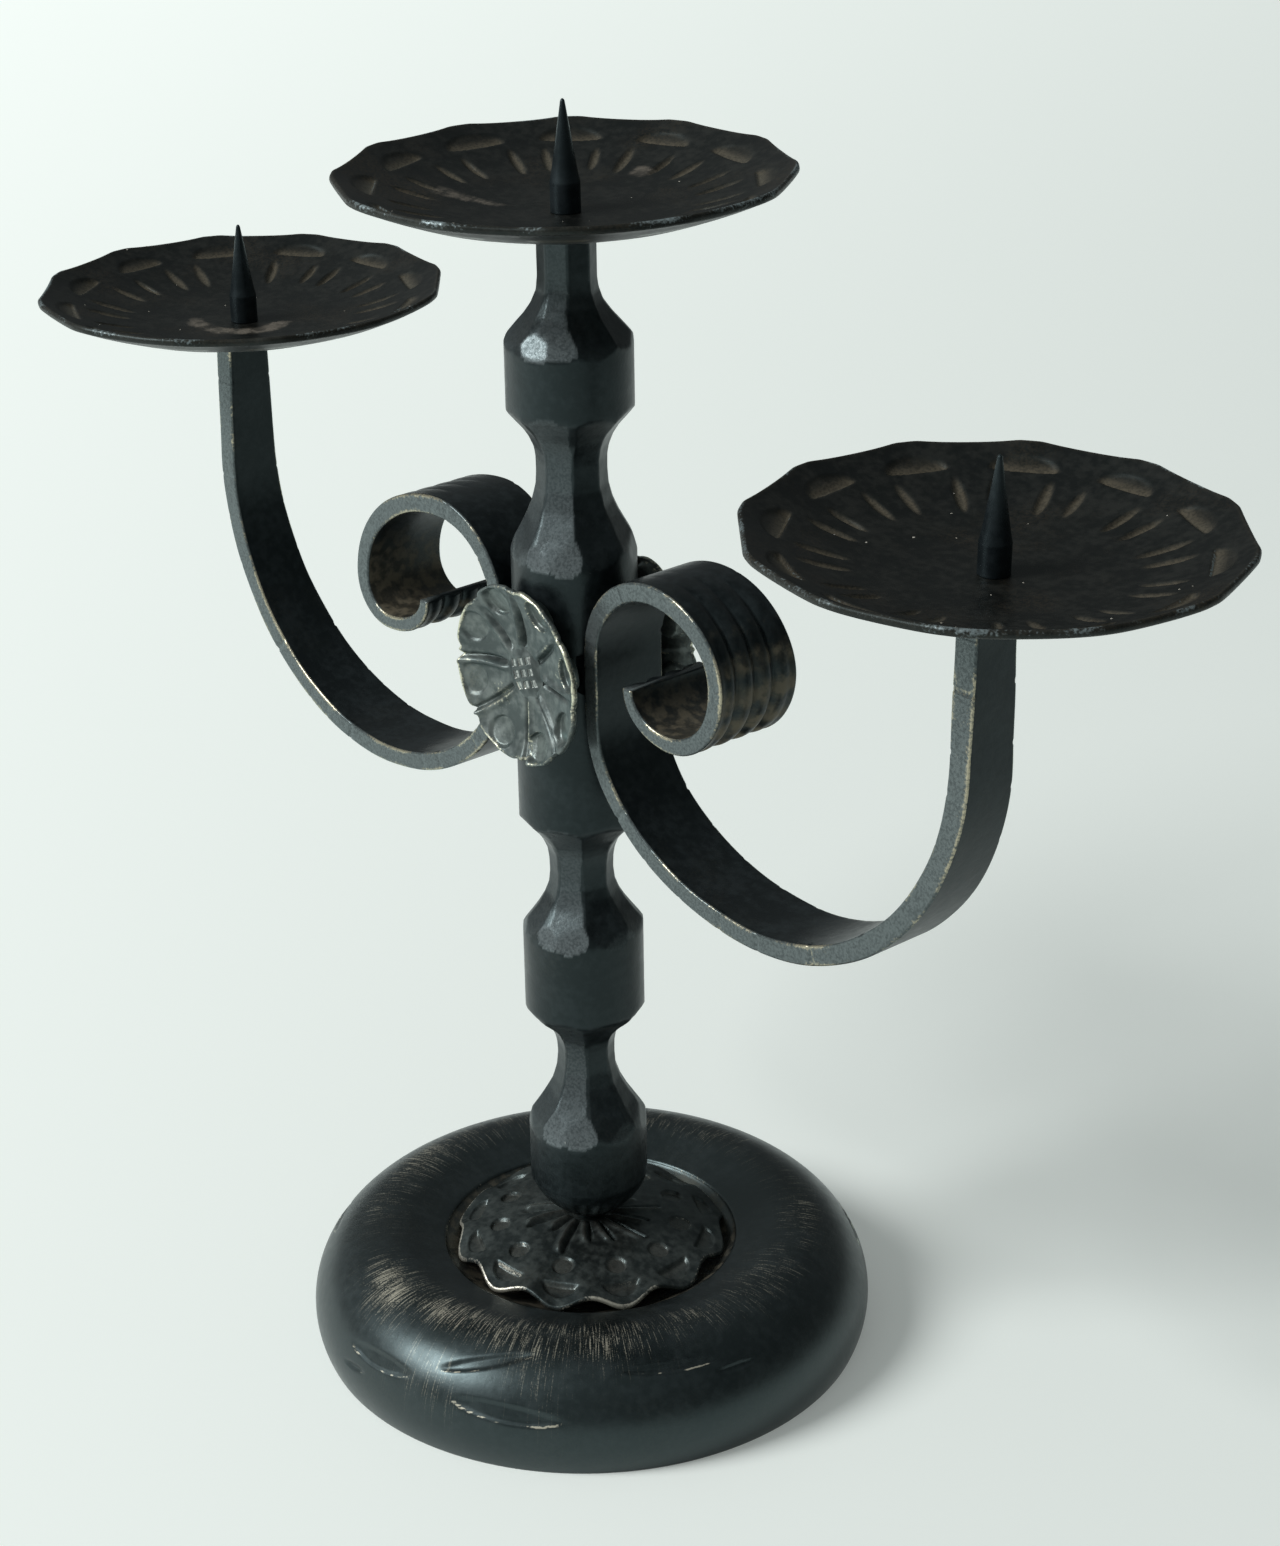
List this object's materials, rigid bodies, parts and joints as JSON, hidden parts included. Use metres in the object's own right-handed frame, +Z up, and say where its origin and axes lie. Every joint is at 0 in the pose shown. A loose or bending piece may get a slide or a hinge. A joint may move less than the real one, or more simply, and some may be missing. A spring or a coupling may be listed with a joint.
{
  "type": "pricket candle stand",
  "caption": "Forged iron pricket candle stand with a hammered stem, scrolled side arms, dished pans with spikes and a hollow domed base.",
  "frame": {"origin": "on the floor under the middle of the base", "axes": "+Z up along the stem, +X towards the right arm, -Y towards the front rosette"},
  "size_m": [0.3735, 0.145, 0.3197],
  "materials": {
    "forged_black_iron": "blackened and waxed, worn bright on the edges",
    "pan_iron": "brown-black patina, hammered",
    "spike_steel": "blackened, satin",
    "rosette_iron": "blackened and rubbed back to grey on the high places",
    "plated_fixing": "zinc plated"
  },
  "bodies": {
    "root": {"base_shell": "forged_black_iron", "base_rosette": "forged_black_iron", "base_spacer": "plated_fixing", "base_washer": "plated_fixing", "base_nut": "plated_fixing", "stem": "forged_black_iron", "arm_right": "forged_black_iron", "arm_left": "forged_black_iron", "arm_welds": "forged_black_iron", "rosette_front": "rosette_iron", "rosette_back": "rosette_iron", "rosette_rivet": "rosette_iron", "pan_top": "pan_iron", "pan_left": "pan_iron", "pan_right": "pan_iron", "spike_top": "spike_steel", "spike_left": "spike_steel", "spike_right": "spike_steel"}
  },
  "joints": []
}
